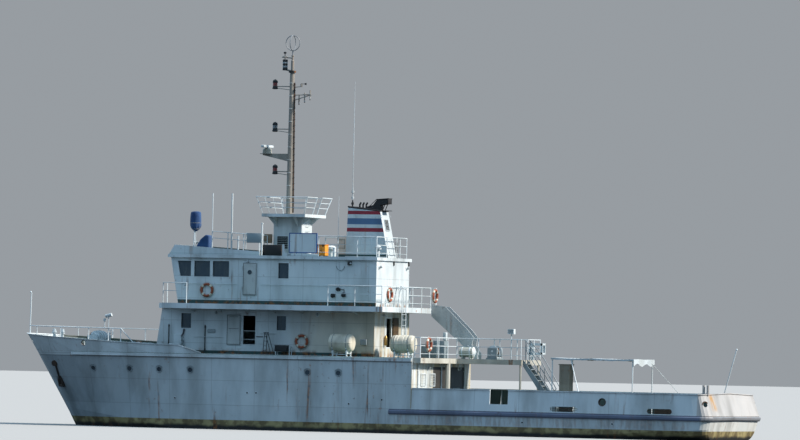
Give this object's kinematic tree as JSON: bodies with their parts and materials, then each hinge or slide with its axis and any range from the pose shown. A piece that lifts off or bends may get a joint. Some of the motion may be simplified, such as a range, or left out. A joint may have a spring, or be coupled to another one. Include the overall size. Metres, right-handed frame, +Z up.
{
  "type": "coastal working vessel",
  "caption": "Small white coastal working ship: raised fore body, two-tier deckhouse, pole mast, striped funnel, low after deck with an awning.",
  "frame": {"origin": "on the centre line amidships, at the waterline", "axes": "+X to the bow, +Y to port, +Z up"},
  "size_m": [39.1441, 8.5852, 22.8723],
  "materials": {
    "hull_paint": "semi-gloss, weathered",
    "house_paint": "semi-gloss, weathered",
    "deck_paint": "matt, walked on",
    "rail_paint": "semi-gloss",
    "grey_paint": "semi-gloss",
    "cream_shell": "gloss",
    "door_paint": "semi-gloss",
    "black_steel": "matt",
    "blue_cover": "canvas, matt",
    "bare_metal": "dull",
    "bronze": "polished",
    "window_glass": "dark",
    "orange_paint": "gloss",
    "canvas": "woven, matt",
    "buff_paint": "matt"
  },
  "bodies": {
    "vessel": {"aft_bulwark": "house_paint", "after_trunk": "buff_paint", "anchor_port": "black_steel", "anchor_starboard": "black_steel", "awning_cloth": "canvas", "awning_frame": "rail_paint", "bow_bulwark": "house_paint", "bow_rail": "rail_paint", "bridge_deck": "deck_paint", "compass_and_lamp": "blue_cover", "exhaust_cowl": "black_steel", "flagstaff": "rail_paint", "fore_hatch_coaming": "house_paint", "funnel": "house_paint", "gate_bulwark": "house_paint", "glass_lower": "window_glass", "glass_upper": "window_glass", "house_lower": "house_paint", "house_upper": "house_paint", "hull": "hull_paint", "ladder": "rail_paint", "life_ring_lower": "orange_paint", "life_ring_upper": "orange_paint", "loop_antenna": "bare_metal", "mast": "house_paint", "mast_house": "house_paint", "name_board": "house_paint", "radar_pedestal": "cream_shell", "raft_aft": "cream_shell", "raft_port": "cream_shell", "rail_bridge_aft": "rail_paint", "rail_bridge_fore_port": "rail_paint", "rail_bridge_fore_starboard": "rail_paint", "rail_bridge_port": "rail_paint", "rail_bridge_starboard": "rail_paint", "rail_mast_platform": "rail_paint", "rail_platform": "rail_paint", "rail_raised_deck": "rail_paint", "rail_roof": "rail_paint", "rail_wheelhouse_port": "rail_paint", "rail_wheelhouse_starboard": "rail_paint", "roof_deck": "house_paint", "roof_locker": "orange_paint", "stair_aft": "grey_paint", "stair_upper": "grey_paint", "wheelhouse_parapet": "house_paint", "winch_frame": "grey_paint", "windlass_frame": "house_paint", "work_platform": "deck_paint"},
    "propeller": {"propeller": "bronze"},
    "rudder": {"rudder": "black_steel"},
    "radar_scanner": {"radar_scanner": "house_paint"},
    "door_lower_port": {"door_lower_port": "door_paint"},
    "door_lower_starboard": {"door_lower_starboard": "door_paint"},
    "door_bridge_port": {"door_bridge_port": "door_paint"},
    "door_bridge_starboard": {"door_bridge_starboard": "door_paint"},
    "door_lower_aft": {"door_lower_aft": "door_paint"},
    "windlass_drum": {"windlass_drum": "house_paint"},
    "winch_drum": {"winch_drum": "house_paint"},
    "fore_hatch_lid": {"fore_hatch_lid": "house_paint"}
  },
  "joints": [
    {"name": "propeller_spin", "type": "hinge", "parent": "vessel", "child": "propeller", "pos_m": [-16.6, 0, -1.6], "axis": [1, 0, 0], "continuous": true},
    {"name": "rudder_turn", "type": "hinge", "parent": "vessel", "child": "rudder", "pos_m": [-17.75, 0, -1.5], "axis": [0, 0, 1], "range_deg": [-35, 35]},
    {"name": "radar_spin", "type": "hinge", "parent": "vessel", "child": "radar_scanner", "pos_m": [6.08, 0, 14.6], "axis": [0, 0, 1], "continuous": true},
    {"name": "windlass_spin", "type": "hinge", "parent": "vessel", "child": "windlass_drum", "pos_m": [15.3, 0, 4.5403], "axis": [0, 1, 0], "continuous": true},
    {"name": "winch_spin", "type": "hinge", "parent": "vessel", "child": "winch_drum", "pos_m": [-6.05, -1.7, 4.2803], "axis": [0, 1, 0], "continuous": true},
    {"name": "fore_hatch_open", "type": "hinge", "parent": "vessel", "child": "fore_hatch_lid", "pos_m": [12.375, 0, 4.2803], "axis": [0, -1, 0], "range_deg": [0, 100]},
    {"name": "door_lower_port_close", "type": "hinge", "parent": "vessel", "child": "door_lower_port", "pos_m": [6.285, 2.495, 5.1], "axis": [0, 0, 1], "range_deg": [0, 180]},
    {"name": "door_lower_starboard_open", "type": "hinge", "parent": "vessel", "child": "door_lower_starboard", "pos_m": [6.285, -2.495, 5.1], "axis": [0, 0, 1], "range_deg": [0, 180]},
    {"name": "door_bridge_port_open", "type": "hinge", "parent": "vessel", "child": "door_bridge_port", "pos_m": [6.35, 2.345, 7.7], "axis": [0, 0, 1], "range_deg": [-180, 0]},
    {"name": "door_bridge_starboard_open", "type": "hinge", "parent": "vessel", "child": "door_bridge_starboard", "pos_m": [6.35, -2.345, 7.7], "axis": [0, 0, 1], "range_deg": [0, 180]},
    {"name": "door_lower_aft_close", "type": "hinge", "parent": "vessel", "child": "door_lower_aft", "pos_m": [-1.065, 0, 5.1], "axis": [0, 0, 1], "range_deg": [-180, 0]}
  ]
}
